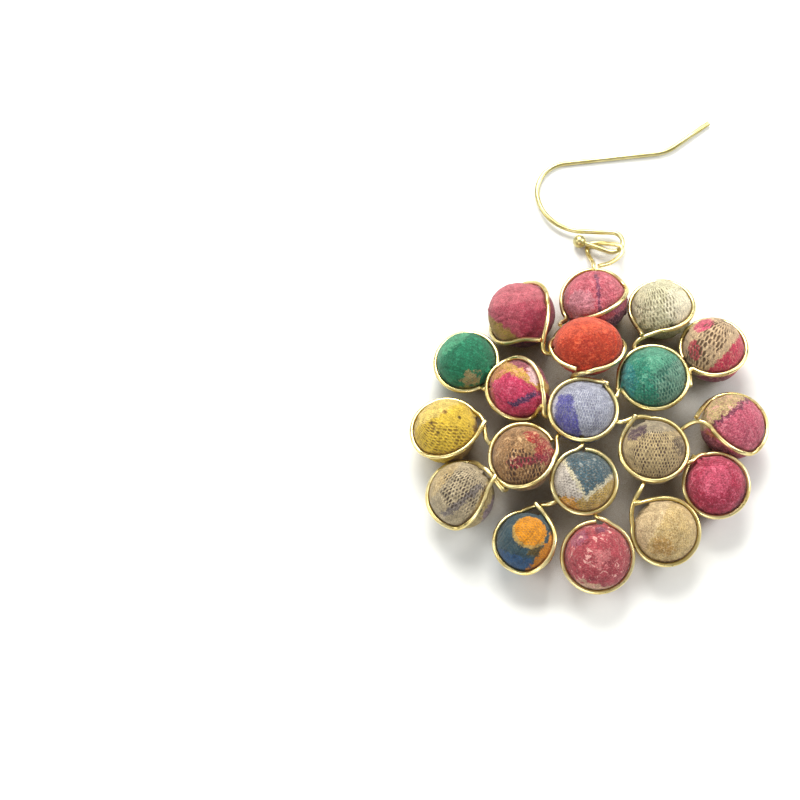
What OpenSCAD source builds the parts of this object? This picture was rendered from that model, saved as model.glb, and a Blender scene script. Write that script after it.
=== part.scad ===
/* [Beads] */
// Size of every bead against its drawn size
bead_scale = 1; // [0.94:0.01:1]
// Clearance between the cloth of a bead and the wire that frames it
cloth_gap = 0.12; // [0.08:0.01:0.14]

/* [Loop wires] */
// Thickness of the wire that frames each bead
loop_wire = 0.65; // [0.5:0.05:0.65]
// Clearance between two wires that are wound or crossed
wire_gap = 0.14; // [0.1:0.01:0.16]
// Sides of the loop wire's section
wire_sides = 6; // [5:1:6]
// Rings of the wire along the stretch that lies on its bead
loop_rings = 26; // [22:1:28]

/* [Ear wire] */
// Thickness of the ear wire
hook_wire = 0.7; // [0.6:0.05:0.7]
// Diameter of the ball that ends the ear wire's short arm
ball_d = 1.9; // [1.6:0.1:2]
// Tilt of the ear wire, which lies on its long arm and on the eye
hook_tilt = 3.32; // [3.2:0.01:3.5]

/* [Hidden] */
// The earring lies on its back: the surface is z = 0, the beads face up, the ear wire points to +Y.
// Each bead is a ball of wound cloth with a wire bent round it and wound on a neighbour's wire.
// The drawing's zero is the middle of the cluster, and this is the middle of the whole earring.
MIDDLE_X = 0.78;
MIDDLE_Y = 10.91;
UP = [0, 0, 1];

// Columns of the bead table, in millimetres:
// the centre, the height of the underside, half the width and half the depth.
X = 0;
Y = 1;
UNDER = 2;
HALF_W = 3;
HALF_D = 4;
BEAD_NAMES = [
    "top_pink", "white", "red_beige", "pink", "magenta", "tan", "rose", "blue_orange", "taupe", "yellow",
    "green", "raspberry", "vermilion", "teal", "khaki", "slate", "red_tan", "hot_pink", "lavender"
];
BEADS = [
    // The outer ring rests on the surface, clockwise from the top
    [2, 17.6, 0, 4.5, 4.5],
    [11.7, 16.5, 0, 4.25, 4.3],
    [19, 10.1, 0, 4.35, 4.6],
    [21.3, -1.7, 0, 4.55, 4.5],
    [18.6, -10.7, 0, 4.3, 4.3],
    [11.2, -17.5, 0, 4.4, 4.4],
    [1.5, -21.3, 0, 4.6, 4.6],
    [-8.5, -19.1, 0, 4.15, 4.15],
    [-17.6, -12.1, 0, 4.5, 4.6],
    [-19.8, -2.35, 0, 4.5, 4.5],
    [-16.8, 8.4, 0, 4.1, 4.2],
    [-8.8, 15.5, 0, 4.8, 4.7],
    // The inner ring stands higher
    [0.5, 9.3, 4.2, 4.9, 4.1],
    [10, 4.9, 1.8, 4.6, 4.5],
    [9.7, -6.25, 1.9, 4.5, 4.5],
    [-0.3, -10.8, 1.85, 4.3, 4.35],
    [-8.9, -7.15, 1.7, 4.35, 4.6],
    [-9.3, 3.4, 1.7, 4.3, 4.25],
    // The middle bead
    [-0.3, -0.4, 2.55, 4.6, 4.4]
];

// Columns of the loop table, in degrees. A loop is a band round the bead that leans:
// FRONT is how high it climbs on the side that faces RISE, BACK how high opposite, BASE all round.
// Its two ends meet near the bearing APEX, and it runs round the bead towards SIDE.
RISE = 0;
FRONT = 1;
BACK = 2;
BASE = 3;
APEX = 4;
SIDE = 5;
// The tail leaves OPEN degrees before the apex and is wound on the loop of bead HOLDER at bearing AT,
// which it reaches from below.
HOLDER = 6;
AT = 7;
OPEN = 8;
// The other end crosses the tail at this share of its length, or lies plain on the bead (0)
// and stops PLAIN degrees before the apex.
CROSSES = 9;
PLAIN = 10;
NONE = -1;
VERMILION = 12;
TEAL = 13;
KHAKI = 14;
SLATE = 15;
RED_TAN = 16;
HOT_PINK = 17;
LAVENDER = 18;
LOOPS = [
    [300, 47, 0, 4, 228, -1, VERMILION, 136, 22, 0.4, 20],
    [285, 26, 12, 4, 232, -1, TEAL, 118, 36, 0.4, 20],
    [275, 20, 12, 4, 208, -1, TEAL, -12, 20, 0, 10],
    [214, 42, 4, 4, 172, -1, KHAKI, 40, 34, 0.4, 20],
    [100, 8, 8, 14, 141, 1, KHAKI, -18, 36, 0.4, 20],
    [100, 14, 14, 12, 134, -1, KHAKI, -108, 40, 0.4, 20],
    [90, 14, 14, 8, 82, 1, SLATE, -72, 16, 0, 10],
    [0, 26, 0, 6, 63, -1, SLATE, -145, 36, 0.4, 20],
    [350, 44, 8, 2, 12, -1, RED_TAN, -122, 30, 0.4, 10],
    [310, 26, 10, 4, 356, -1, RED_TAN, 156, 38, 0.4, 20],
    [331, 10, 10, 0, 322, 1, HOT_PINK, 178, 28, 0, 8],
    [338, 44, 48, 10, 312, -1, VERMILION, 192, 52, 0.6, 20],
    [270, 20, 42, 0, 255, -1, LAVENDER, 105, 24, 0, 1],
    [280, 2, 4, 10, 168, -1, LAVENDER, 25, 38, 0.4, 20],
    [270, 4, 4, 14, 131, 1, LAVENDER, -20, 38, 0.4, 20],
    [90, 6, 6, 14, 90, -1, LAVENDER, -92, 14, 0, 3],
    [320, 20, 0, 8, 8, 1, LAVENDER, -132, 18, 0, 16],
    [20, 48, -4, 6, 315, -1, LAVENDER, 190, 36, 0.4, 10],
    [90, 0, 0, 18, 54, 1, NONE, 0, 20, 0.4, 20]
];
// Where the side that leans begins and ends, as the cosine of the bearing from RISE
FOLD = 0.45;
// Turns at which a wound tail starts and ends round its holder, and the side that it comes from
WRAP_START = 90;
WRAP_END = 180;
FROM_BELOW = -1;
FROM_ABOVE = 1;
TAIL_RINGS = 6;
WRAP_RINGS = 5;
HEAD_RINGS = 5;
// Shares of a strand's length by which it keeps its direction, rises off the bead, and arrives
LEAVE = 0.5;
LIFT = 0.2;
ARRIVE = 0.35;
// Share of the wire's thickness by which a wound tail drifts along its holder for each degree
DRIFT = 0.0016;
// The head that crosses the tail: shares of its length that keep its direction at either end,
// how far it runs past the tail, and the room that it has there
HEAD_LEAVE = 0.5;
HEAD_ARRIVE = 0.3;
HEAD_PAST = 0.15;
HEAD_ROOM = 0.02;
// The one tail that no wire holds: its reach against the start's, its rise and its step sideways
FREE_REACH = 1.08;
FREE_RISE = 1.2;
FREE_STEP = 0.5;
FREE_ARRIVE = 0.3;

// The eye: a wire that starts beside itself, runs over the ear wire's bend, back under its short arm
// and is wound on the top bead's loop at this bearing. Its route's points are x, y, z.
EYE_BEAD = 0;
EYE_AT = 92;
EYE_WRAP_START = 30;
EYE_WRAP_END = 250;
EYE_WRAP_RINGS = 9;
EYE_ROUTE = [
    [2.7, 23.5, 4.0],
    [4.3, 24.3, 3.1],
    [5.6, 25.4, 2.5],
    [6.3, 26.4, 2.2],
    [6.2, 27.3, 2.15],
    [5.3, 27.9, 1.7],
    [4.1, 28.3, 1.05],
    [2.9, 28.6, 0.55],
    [1.9, 28.5, 0.37],
    [1.3, 27.8, 0.37],
    [1.4, 26.8, 0.6],
    [1.7, 25.6, 1.6],
    [2.0, 24.4, 2.9]
];
EYE_STEPS = 2;

// The ear wire, bent flat from its ball to its tip. Each row is a straight, then a bend that turns
// left where it is positive, and the wire starts at the ball's centre in this direction.
STRAIGHT = 0;
BEND_R = 1;
TURN = 2;
BALL_X = 0.15;
BALL_Y = 28.58;
START_BEARING = -21.6;
HOOK_BENDS = [
    [4.5, 1.6, 198.6],
    [4.6, 6.8, -77],
    [0, 4.9, -93.5],
    [13.6, 6.0, 30.5]
];
// The straight tip is a true round pin, and its end is broken by a small chamfer
TIP_LENGTH = 6.5;
TIP_CHAMFER = 0.15;
// The bent wire runs this far into the pin, a hair thinner, and is drawn with a ring every so many degrees
TIP_SEAT = 0.5;
TIP_FIT = 0.01;
BEND_STEP = 12;
HOOK_SIDES = 12;
// It lies on the surface along the line through this point in this direction, and tilts about it
REST_X = -3.0;
REST_Y = 41.2;
REST_BEARING = 17;
REST_GAP = 0.02;

CLOTH_COLOURS = [
    "#D9567A", "#DDD8BE", "#C9A98F", "#C9566F", "#BE3658", "#CDB384", "#C0505F",
    "#3E5A6E", "#A8977C", "#D4B040", "#1F8A66", "#B8475A", "#D8442A", "#4FA58A",
    "#B8A47A", "#5F7F8C", "#B89A74", "#D83A6A", "#B4B8D0"
];
GOLD = "#D9C378";
ROUND = 48;
// The seam of each bead's round surface is turned to this bearing, where no tail bites a dent
SEAM = 66;

// Plain vector helpers
function unit(v) = v / norm(v);
function clip(value, low, high) = min(max(value, low), high);
function bearing(angle) = [cos(angle), sin(angle), 0];
function bezier(a, b, c, d, u) =
    let (v = 1 - u)
    v * v * v * a + 3 * v * v * u * b + 3 * v * u * u * c + u * u * u * d;
function strand(a, b, c, d, count) = [for (i = [0:count - 1]) bezier(a, b, c, d, i / (count - 1))];

// A bead's size, its centre, and the point at a distance above its skin in an outward direction
function half_size(bead) =
    bead_scale * [BEADS[bead][HALF_W], BEADS[bead][HALF_D], BEADS[bead][HALF_D]];
function centre(bead) = [BEADS[bead][X], BEADS[bead][Y], BEADS[bead][UNDER] + half_size(bead)[2]];
function above_skin(bead, out, away) =
    let (s = half_size(bead), stretched = [s[0] * out[0], s[1] * out[1], s[2] * out[2]])
    centre(bead)
    + [s[0] * stretched[0], s[1] * stretched[1], s[2] * stretched[2]] / norm(stretched)
    + away * out;

// The outward direction of a loop at the angle t from its rising side
function ease(c) = let (u = clip((c + FOLD) / (2 * FOLD), 0, 1)) u * u * (3 - 2 * u);
function out_of_loop(bead, t) =
    let (loop = LOOPS[bead], lean = loop[BACK] + (loop[FRONT] - loop[BACK]) * ease(cos(t)))
    unit(
        cos(t) * (cos(lean) * bearing(loop[RISE]) + sin(lean) * UP)
        + sin(t) * bearing(loop[RISE] + 90)
        + sin(loop[BASE]) * UP
    );

// A loop's middle line lies close on the skin, and a tail wound on it bites a dent into the cloth
WOUND = loop_wire + wire_gap;
DENT_R = norm([WOUND, DRIFT * loop_wire * WRAP_END]) + loop_wire / 2 + cloth_gap;
function places_held(bead) = concat(
    [for (loop = LOOPS) if (loop[HOLDER] == bead) loop[AT]],
    bead == EYE_BEAD ? [EYE_AT] : []
);
function hug(bead, t) = above_skin(bead, out_of_loop(bead, t), loop_wire / 2 + cloth_gap);
function along(bead, t) = unit(hug(bead, t + 1) - hug(bead, t - 1));

// The place on a holder's loop on which a tail is wound: its point, direction, outward and sideways
function grip(bead, at, from) =
    let (
        t = at - LOOPS[bead][RISE],
        point = hug(bead, t),
        run = along(bead, t),
        from_bead = point - centre(bead),
        out = unit(from_bead - (from_bead * run) * run),
        across = unit(cross(run, out))
    )
    [point, run, out, across[2] * from < 0 ? -across : across];
function wound(grip, angle, slide) =
    grip[0] + WOUND * (cos(angle) * grip[2] + sin(angle) * grip[3]) + slide * grip[1];

// The whole route of one loop wire: the end that crosses, the stretch on the bead, the wound tail
function loop_route(bead) =
    let (
        loop = LOOPS[bead],
        holder = loop[HOLDER],
        side = loop[SIDE],
        first = loop[APEX] - loop[RISE] + side * (loop[CROSSES] > 0 ? loop[OPEN] : loop[PLAIN]),
        last = loop[APEX] - loop[RISE] + side * (360 - loop[OPEN]),
        ring = [for (i = [0:loop_rings - 1]) hug(bead, first + (last - first) * i / (loop_rings - 1))],
        start = ring[0],
        end = ring[loop_rings - 1],
        back_along = -side * along(bead, first),
        on_along = side * along(bead, last),
        lifted = unit(end - centre(bead)),
        grip = holder == NONE ? [] : grip(holder, loop[AT], FROM_BELOW),
        across = unit(start - end),
        free_reach = FREE_REACH * norm(start - centre(bead)),
        free_end = centre(bead) + free_reach * bearing(loop[APEX]) + FREE_RISE * UP + FREE_STEP * across,
        target = holder == NONE ? free_end : wound(grip, WRAP_START, 0),
        reach = norm(target - end),
        bend_a = end + LEAVE * reach * on_along + (holder == NONE ? 0 : LIFT * reach) * lifted,
        bend_b = holder == NONE ? target - FREE_ARRIVE * reach * across : target + ARRIVE * reach * grip[2],
        tail = strand(end, bend_a, bend_b, target, TAIL_RINGS),
        slide = holder == NONE ? 0 : (grip[1] * (end - start) > 0 ? 1 : -1) * DRIFT * loop_wire,
        wrap = holder == NONE ? [] : [
            for (i = [1:WRAP_RINGS - 1])
            let (turn = (WRAP_END - WRAP_START) * i / (WRAP_RINGS - 1))
            wound(grip, WRAP_START + turn, slide * turn)
        ],
        meet = bezier(end, bend_a, bend_b, target, loop[CROSSES]),
        towards = unit(meet - start),
        apart = unit(cross(towards, target - end)),
        away = apart * (meet - centre(bead)) < 0 ? -apart : apart,
        crossing = meet + (WOUND + HEAD_ROOM) * away,
        run_up = norm(crossing - start),
        head = strand(
            crossing,
            crossing - HEAD_ARRIVE * run_up * towards,
            start + HEAD_LEAVE * run_up * back_along,
            start,
            HEAD_RINGS
        )
    )
    concat(
        loop[CROSSES] > 0 ? concat([crossing + HEAD_PAST * towards], head) : [start],
        [for (i = [1:loop_rings - 2]) ring[i]],
        tail,
        wrap
    );

// The eye's route: a smooth line through its points, then its turns on the top bead's loop
function spline(a, b, c, d, u) =
    0.5 * (2 * b + (c - a) * u + (2 * a - 5 * b + 4 * c - d) * u * u + (3 * b - a - 3 * c + d) * u * u * u);
function smooth(points, steps) =
    let (last = len(points) - 1)
    concat(
        [
            for (i = [0:last - 1], j = [0:steps - 1])
            spline(points[max(i - 1, 0)], points[i], points[i + 1], points[min(i + 2, last)], j / steps)
        ],
        [points[last]]
    );
function eye_route() =
    let (
        grip = grip(EYE_BEAD, EYE_AT, FROM_ABOVE),
        slide = -DRIFT * loop_wire,
        turns = [
            for (i = [0:EYE_WRAP_RINGS - 1])
            let (turn = (EYE_WRAP_END - EYE_WRAP_START) * i / (EYE_WRAP_RINGS - 1))
            wound(grip, EYE_WRAP_START + turn, slide * turn)
        ]
    )
    concat(smooth(concat(EYE_ROUTE, [turns[0]]), EYE_STEPS), [for (i = [1:EYE_WRAP_RINGS - 1]) turns[i]]);

// A wire swept along a route, with a section that doesn't twist
module wire_along(route, d, count) {
    last = len(route) - 1;
    heads = [for (i = [0:last]) unit(route[min(i + 1, last)] - route[max(i - 1, 0)])];
    start = unit(cross(heads[0], abs(heads[0][2]) < 0.9 ? UP : [1, 0, 0]));
    sides = [
        for (
            i = 0, side = start;
            i <= last;
            i = i + 1, side = i <= last ? unit(side - (side * heads[i]) * heads[i]) : side
        ) side
    ];
    points = [
        for (i = [0:last], k = [0:count - 1])
        let (a = 360 * k / count)
        route[i] + d / 2 * (cos(a) * sides[i] + sin(a) * cross(heads[i], sides[i]))
    ];
    walls = [
        for (i = [0:last - 1], k = [0:count - 1])
        let (a = i * count + k, b = i * count + (k + 1) % count)
        each [[a, a + count, b], [b, a + count, b + count]]
    ];
    near_end = [for (k = [0:count - 1]) k];
    far_end = [for (k = [count - 1:-1:0]) last * count + k];
    polyhedron(points = points, faces = concat([near_end], walls, [far_end]));
}

module placed() {
    translate([-MIDDLE_X, -MIDDLE_Y, 0]) children();
}

module bead(index) {
    color(CLOTH_COLOURS[index])
    placed()
    difference() {
        translate(centre(index)) scale(half_size(index)) rotate([0, 0, SEAM]) sphere(r = 1, $fn = ROUND);
        for (at = places_held(index)) translate(grip(index, at, FROM_ABOVE)[0]) sphere(r = DENT_R, $fn = ROUND);
    }
}

module loop(index) {
    color(GOLD)
    placed()
    wire_along(loop_route(index), loop_wire, wire_sides);
}

module wire_eye() {
    color(GOLD)
    placed()
    wire_along(eye_route(), loop_wire, wire_sides);
}

// Where each straight of the ear wire starts, and its bearing
function after(place, row) =
    let (
        side = row[TURN] > 0 ? 1 : -1,
        end = [place[0], place[1], 0] + row[STRAIGHT] * bearing(place[2]),
        middle = end + row[BEND_R] * bearing(place[2] + 90 * side),
        bent = middle - row[BEND_R] * bearing(place[2] + row[TURN] + 90 * side)
    )
    [bent[0], bent[1], place[2] + row[TURN]];
HOOK_PLACES = [
    for (
        i = 0, place = [BALL_X, BALL_Y, START_BEARING];
        i < len(HOOK_BENDS);
        place = after(place, HOOK_BENDS[i]), i = i + 1
    ) place
];

// The points of one straight and of the bend after it, without the place where they start
function bent(place, row) =
    let (
        side = row[TURN] > 0 ? 1 : -1,
        end = [place[0], place[1], 0] + row[STRAIGHT] * bearing(place[2]),
        middle = end + row[BEND_R] * bearing(place[2] + 90 * side),
        steps = ceil(abs(row[TURN]) / BEND_STEP)
    )
    concat(
        row[STRAIGHT] > 0 ? [end] : [],
        [
            for (i = [1:steps])
            middle - row[BEND_R] * bearing(place[2] + row[TURN] * i / steps + 90 * side)
        ]
    );

module ear_hook() {
    last = len(HOOK_BENDS) - 1;
    tip = after(HOOK_PLACES[last], HOOK_BENDS[last]);
    route = concat(
        [[BALL_X, BALL_Y, 0]],
        [for (i = [0:last]) each bent(HOOK_PLACES[i], HOOK_BENDS[i])],
        [[tip[0], tip[1], 0] + TIP_SEAT * bearing(tip[2])]
    );
    color(GOLD)
    placed()
    translate([REST_X, REST_Y, hook_wire / 2 + REST_GAP])
    rotate(a = -hook_tilt, v = bearing(REST_BEARING))
    translate([-REST_X, -REST_Y, 0])
    union() {
        translate([BALL_X, BALL_Y, 0]) sphere(d = ball_d, $fn = ROUND);
        wire_along(route, hook_wire - TIP_FIT, HOOK_SIDES);
        translate([tip[0], tip[1], 0])
        rotate([0, 90, tip[2]])
        rotate_extrude($fn = ROUND)
        polygon([
            [0, 0],
            [hook_wire / 2, 0],
            [hook_wire / 2, TIP_LENGTH - TIP_CHAMFER],
            [hook_wire / 2 - TIP_CHAMFER, TIP_LENGTH],
            [0, TIP_LENGTH]
        ]);
    }
}

for (i = [0:len(BEAD_NAMES) - 1]) {
    bead(i);
    loop(i);
}
wire_eye();
ear_hook();
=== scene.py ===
# %% [markdown]
# # An earring of cloth-wound beads and gold wire
# Nineteen balls, wound with strips of old printed cloth, are each framed by one bent wire whose tail is
# hooked on a neighbour's wire. A wire eye and a bent ear wire carry them. The earring lies on a table.
# The imported model is loaded first, and each of its pieces that is made again here is hidden. All sizes
# below are in millimetres, because a jeweller works in them, and the last step of each piece turns them
# into Blender's metres.

import math
import random

import bpy
import numpy as np
from mathutils import Matrix, Vector
from mathutils.kdtree import KDTree


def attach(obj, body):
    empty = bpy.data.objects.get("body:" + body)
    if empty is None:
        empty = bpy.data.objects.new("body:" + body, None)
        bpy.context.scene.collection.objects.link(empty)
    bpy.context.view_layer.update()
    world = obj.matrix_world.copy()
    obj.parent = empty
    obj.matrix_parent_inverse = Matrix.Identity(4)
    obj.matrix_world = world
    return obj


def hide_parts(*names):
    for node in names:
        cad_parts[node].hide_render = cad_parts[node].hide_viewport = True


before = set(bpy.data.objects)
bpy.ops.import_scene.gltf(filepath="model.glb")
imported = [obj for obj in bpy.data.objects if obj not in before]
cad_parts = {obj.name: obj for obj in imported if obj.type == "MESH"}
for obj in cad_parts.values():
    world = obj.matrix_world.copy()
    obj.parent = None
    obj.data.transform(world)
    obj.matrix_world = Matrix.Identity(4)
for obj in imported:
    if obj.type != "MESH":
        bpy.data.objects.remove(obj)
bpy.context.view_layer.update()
MM = 0.001
UP = np.array([0.0, 0.0, 1.0])
# The drawing's zero is the middle of the cluster, and this is the middle of the whole earring
MIDDLE = np.array([0.78, 10.91, 0.0])
print("nodes in the frame:", len(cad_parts))

# %% [markdown]
# ## Camera, light and table
# The picture was taken from above, at 70 degrees over the table, with a long lens. The view is set by the
# distance and by the pixel on which the middle of the cluster falls, so the camera only needs its own turn
# and no shift. Four soft windows stand round the table. The big one beyond the top of the picture gives
# most of the light, and the weaker ones at the right, near and left sides soften the shadows. The room is
# a good deal darker than the windows, so that the gold has something dark to reflect.

# %% The camera
ELEVATION = 70
DISTANCE = 450
FOCAL_PIXELS = 3150
FRAME_PIXELS = 800
SENSOR = 36
CLUSTER_PIXEL = (585, 407.5)
CLUSTER_TOP = np.array([0.0, 0.0, 8.0])
NEAREST_SEEN = 10
up_tilt = math.radians(ELEVATION)
look = np.array([0, math.cos(up_tilt), -math.sin(up_tilt)])
picture_up = np.array([0, math.sin(up_tilt), math.cos(up_tilt)])
picture_right = np.array([1.0, 0.0, 0.0])
across = (CLUSTER_PIXEL[0] - FRAME_PIXELS / 2) / FOCAL_PIXELS * DISTANCE
upward = (FRAME_PIXELS / 2 - CLUSTER_PIXEL[1]) / FOCAL_PIXELS * DISTANCE
eye = CLUSTER_TOP - MIDDLE - picture_right * across - picture_up * upward - look * DISTANCE
bpy.ops.object.camera_add()
camera = bpy.context.object
camera.data.lens = FOCAL_PIXELS / FRAME_PIXELS * SENSOR
camera.data.sensor_width = SENSOR
camera.data.clip_start = NEAREST_SEEN * MM
turned = Matrix((picture_right, picture_up, -look)).transposed().to_4x4()
camera.matrix_world = Matrix.Translation(Vector(eye * MM)) @ turned
bpy.context.scene.camera = camera
print("camera at", [round(v) for v in eye], "mm")

# %% The windows


def window(name, place, size, strength, colour):
    """A square area light that faces the earring, with its place and size in millimetres."""
    bpy.ops.object.light_add(type="AREA", location=Vector(place) * MM)
    light = bpy.context.object
    light.name = name
    light.data.size = size * MM
    light.data.energy = strength
    light.data.color = colour
    light.rotation_euler = (-Vector(place)).to_track_quat("-Z", "Y").to_euler()


window("top_window", (-90, 560, 560), size=440, strength=8.6, colour=(1.0, 0.96, 0.89))
window("right_window", (560, 160, 400), size=320, strength=3.0, colour=(1.0, 0.97, 0.93))
window("near_window", (-160, -560, 380), size=320, strength=1.8, colour=(1.0, 0.97, 0.92))
window("left_window", (-600, 0, 400), size=300, strength=1.4, colour=(1.0, 0.97, 0.92))
print("windows:", len(bpy.data.lights))

# %% The room and the table
ROOM_COLOUR = (1.0, 0.97, 0.91, 1)
# Seen from the table the room is dim up to one height, and lit from another up
DIM_UP_TO = 0.25
LIT_FROM = 0.75
WALL_LIGHT = 0.12
CEILING_LIGHT = 0.42
TABLE_METRES = 3

room = bpy.data.worlds.new("room")
bpy.context.scene.world = room
room.use_nodes = True
sky = room.node_tree
sky_place = sky.nodes.new("ShaderNodeTexCoord")
sky_height = sky.nodes.new("ShaderNodeSeparateXYZ")
ceiling = sky.nodes.new("ShaderNodeMapRange")
ceiling.interpolation_type = "SMOOTHSTEP"
ceiling.inputs["From Min"].default_value = DIM_UP_TO
ceiling.inputs["From Max"].default_value = LIT_FROM
ceiling.inputs["To Min"].default_value = WALL_LIGHT
ceiling.inputs["To Max"].default_value = CEILING_LIGHT
sky.links.new(sky_place.outputs["Generated"], sky_height.inputs[0])
sky.links.new(sky_height.outputs["Z"], ceiling.inputs["Value"])
sky.links.new(ceiling.outputs[0], sky.nodes["Background"].inputs["Strength"])
sky.nodes["Background"].inputs["Color"].default_value = ROOM_COLOUR
bpy.context.scene.view_settings.view_transform = "Standard"
bpy.ops.mesh.primitive_plane_add(size=TABLE_METRES)
table = bpy.context.object
table.name = "table"
print("room and table made")

# %% [markdown]
# ## Laying shader nodes
# A material is a chain of small steps. These helpers lay one step each and give back its output, so that
# a finish can be read like a recipe.

# %% Helpers for materials


def linear(code):
    """A colour such as #D9C378 as the linear values that a shader wants."""
    parts = [int(code[i:i + 2], 16) / 255 for i in (1, 3, 5)]
    bright = [p / 12.92 if p <= 0.04045 else ((p + 0.055) / 1.055) ** 2.4 for p in parts]
    return (*bright, 1)


class Finish:
    """One material and the steps that lead to its shader."""

    def __init__(self, name):
        self.material = bpy.data.materials.new(name)
        self.material.use_nodes = True
        self.tree = self.material.node_tree
        self.shader = self.tree.nodes["Principled BSDF"]

    def object_place(self):
        return self.lay("ShaderNodeTexCoord", {}, {}).outputs["Object"]

    def lay(self, kind, settings, inputs):
        node = self.tree.nodes.new(kind)
        for key, value in settings.items():
            setattr(node, key, value)
        for key, value in inputs.items():
            if isinstance(value, bpy.types.NodeSocket):
                self.tree.links.new(value, node.inputs[key])
            elif value is not None:
                node.inputs[key].default_value = value
        return node

    def number(self, operation, a, b=None, c=None):
        return self.lay("ShaderNodeMath", {"operation": operation}, {0: a, 1: b, 2: c}).outputs[0]

    def times(self, a, b):
        return self.number("MULTIPLY", a, b)

    def vector(self, operation, a, b, output=0):
        return self.lay("ShaderNodeVectorMath", {"operation": operation}, {0: a, 1: b}).outputs[output]

    def noise(self, place, scale, detail=2.0, rough=0.5, twist=0.0, output=0):
        values = {"Scale": scale, "Detail": detail, "Roughness": rough, "Distortion": twist}
        return self.lay("ShaderNodeTexNoise", {}, {"Vector": place, **values}).outputs[output]

    def ramp(self, value, low, high, start=0.0, end=1.0):
        values = {"Value": value, "From Min": low, "From Max": high, "To Min": start, "To Max": end}
        return self.lay("ShaderNodeMapRange", {"interpolation_type": "SMOOTHSTEP"}, values).outputs[0]

    def blend(self, share, below, above, way="MIX"):
        settings = {"data_type": "RGBA", "blend_type": way, "clamp_factor": True}
        node = self.lay("ShaderNodeMix", settings, {0: share, 6: below, 7: above})
        return node.outputs[2]

    def grey(self, value):
        return self.lay("ShaderNodeCombineColor", {}, {0: value, 1: value, 2: value}).outputs[0]

    def bump(self, height, strength, depth):
        values = {"Height": height, "Strength": strength, "Distance": depth * MM}
        return self.lay("ShaderNodeBump", {}, values).outputs[0]

    def set(self, **inputs):
        for key, value in inputs.items():
            socket = self.shader.inputs[key.replace("_", " ").title().replace("Ior", "IOR")]
            if isinstance(value, bpy.types.NodeSocket):
                self.tree.links.new(value, socket)
            else:
                socket.default_value = value


# %% [markdown]
# ## The paper
# The table is covered with white paper. In the gaps between the beads hardly any light reaches it that
# hasn't touched cloth or gold, so it looks a warm brown there. That brown is painted shade: an ambient
# occlusion step measures how open the sky is over each place, and where it is nearly shut the brown is
# blended into the paper's colour.

# %% The table's paper
FIBRE_SCALE = 900.0
FIBRE_DETAIL = 3.0
PAPER_DULL = (0.81, 0.84, 0.85, 1)
PAPER_BRIGHT = (0.85, 0.88, 0.89, 1)
GAP_PAINTED_SHADE = "#84704A"
SKY_RAYS = 12
SKY_REACH = 22
PAINTED_SHADE_FROM = 0.4
PAINTED_SHADE_FULL = 0.08

paper = Finish("paper")
fibres = paper.noise(paper.object_place(), FIBRE_SCALE, FIBRE_DETAIL)
paper_colour = paper.blend(fibres, PAPER_DULL, PAPER_BRIGHT)
sky_step = paper.lay("ShaderNodeAmbientOcclusion", {"samples": SKY_RAYS}, {"Distance": SKY_REACH * MM})
painted_shade_share = paper.ramp(sky_step.outputs["AO"], PAINTED_SHADE_FROM, PAINTED_SHADE_FULL)
# painted shade: warm brown blended into the paper's colour where little sky is open over it
paper_colour = paper.blend(painted_shade_share, paper_colour, linear(GAP_PAINTED_SHADE))
paper.set(base_color=paper_colour, roughness=0.7)
table.data.materials.append(paper.material)
print("table finished")

# %% [markdown]
# ## The beads and their wires, as tables
# These are the same tables as in the part's source. Each bead is an egg with a centre, the height of its
# underside and two half sizes. Each wire is a band round its bead that leans: `front` is how high it
# climbs on the side `rise`, `back` how high it is opposite and `base` how high it is all round. Its two
# ends meet at `apex`, and `side` says which way round it runs from the one to the other. Both stop `open`
# degrees short of the apex. A head that crosses the tail does so at the share `crosses` of its way, and
# one that doesn't stops `plain` degrees short. The tail is hooked on the wire of `holder` at bearing `at`.

# %% The tables
BEAD_COLUMNS = ("x", "y", "under", "half_w", "half_d")
LOOP_COLUMNS = (
    "rise", "front", "back", "base", "apex", "side", "holder", "at", "open", "crosses", "plain"
)
BEAD_ROWS = {
    "top_pink": (2, 17.6, 0, 4.5, 4.5),
    "white": (11.7, 16.5, 0, 4.25, 4.3),
    "red_beige": (19, 10.1, 0, 4.35, 4.6),
    "pink": (21.3, -1.7, 0, 4.55, 4.5),
    "magenta": (18.6, -10.7, 0, 4.3, 4.3),
    "tan": (11.2, -17.5, 0, 4.4, 4.4),
    "rose": (1.5, -21.3, 0, 4.6, 4.6),
    "blue_orange": (-8.5, -19.1, 0, 4.15, 4.15),
    "taupe": (-17.6, -12.1, 0, 4.5, 4.6),
    "yellow": (-19.8, -2.35, 0, 4.5, 4.5),
    "green": (-16.8, 8.4, 0, 4.1, 4.2),
    "raspberry": (-8.8, 15.5, 0, 4.8, 4.7),
    "vermilion": (0.5, 9.3, 4.2, 4.9, 4.1),
    "teal": (10, 4.9, 1.8, 4.6, 4.5),
    "khaki": (9.7, -6.25, 1.9, 4.5, 4.5),
    "slate": (-0.3, -10.8, 1.85, 4.3, 4.35),
    "red_tan": (-8.9, -7.15, 1.7, 4.35, 4.6),
    "hot_pink": (-9.3, 3.4, 1.7, 4.3, 4.25),
    "lavender": (-0.3, -0.4, 2.55, 4.6, 4.4),
}
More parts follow.
